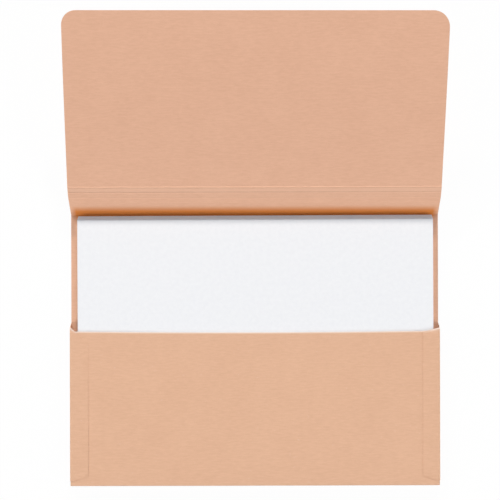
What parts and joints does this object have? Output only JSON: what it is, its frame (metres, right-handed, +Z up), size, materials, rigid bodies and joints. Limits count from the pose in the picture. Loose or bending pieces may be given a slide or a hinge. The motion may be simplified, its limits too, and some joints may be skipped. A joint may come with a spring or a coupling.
{
  "type": "file pocket",
  "caption": "Card document wallet with a half-height glued pocket, a scored spine that expands, a fold-over flap with rounded corners and loose sheets inside.",
  "frame": {"origin": "centre of the back panel's underside, the face that the wallet lies on", "axes": "+X to the right across the pocket, +Y from the bottom fold towards the flap, +Z up from the back panel"},
  "size_m": [0.3094, 0.3867, 0.0609],
  "materials": {
    "card": "matte",
    "sheet": "matte",
    "glue": "matte"
  },
  "bodies": {
    "pocket": {"back_panel": "card", "bottom_wall": "card", "front_panel": "card", "left_side_wall": "card", "right_side_wall": "card", "left_glue_tab": "card", "right_glue_tab": "card", "left_glue_seam": "glue", "right_glue_seam": "glue"},
    "spine_strip_1": {"spine_strip_1": "card"},
    "spine_strip_2": {"spine_strip_2": "card"},
    "spine_strip_3": {"spine_strip_3": "card"},
    "spine_strip_4": {"spine_strip_4": "card"},
    "spine_strip_5": {"spine_strip_5": "card"},
    "spine_strip_6": {"spine_strip_6": "card"},
    "flap": {"flap": "card"},
    "sheets": {"loose_sheets": "sheet"}
  },
  "joints": [
    {"name": "root_crease", "type": "hinge", "parent": "pocket", "child": "spine_strip_1", "pos_m": [0, 0.1132, 0.0002], "axis": [1, 0, 0], "range_deg": [-20, 41]},
    {"name": "score_1", "type": "hinge", "parent": "spine_strip_1", "child": "spine_strip_2", "pos_m": [0, 0.11658, 0.00409], "axis": [1, 0, 0], "range_deg": [0, 10]},
    {"name": "score_2", "type": "hinge", "parent": "spine_strip_2", "child": "spine_strip_3", "pos_m": [0, 0.11996, 0.00797], "axis": [1, 0, 0], "range_deg": [0, 60]},
    {"name": "score_3", "type": "hinge", "parent": "spine_strip_3", "child": "spine_strip_4", "pos_m": [0, 0.12334, 0.01186], "axis": [1, 0, 0], "range_deg": [0, 20]},
    {"name": "score_4", "type": "hinge", "parent": "spine_strip_4", "child": "spine_strip_5", "pos_m": [0, 0.12671, 0.01575], "axis": [1, 0, 0], "range_deg": [0, 11]},
    {"name": "score_5", "type": "hinge", "parent": "spine_strip_5", "child": "spine_strip_6", "pos_m": [0, 0.13077, 0.01892], "axis": [1, 0, 0], "range_deg": [0, 11]},
    {"name": "flap_crease", "type": "hinge", "parent": "spine_strip_6", "child": "flap", "pos_m": [0, 0.13536, 0.02126], "axis": [1, 0, 0], "range_deg": [0, 11]},
    {"name": "sheets_slide", "type": "slide", "parent": "pocket", "child": "sheets", "axis": [0, 1, 0], "range_m": [-0.01, 0]}
  ]
}
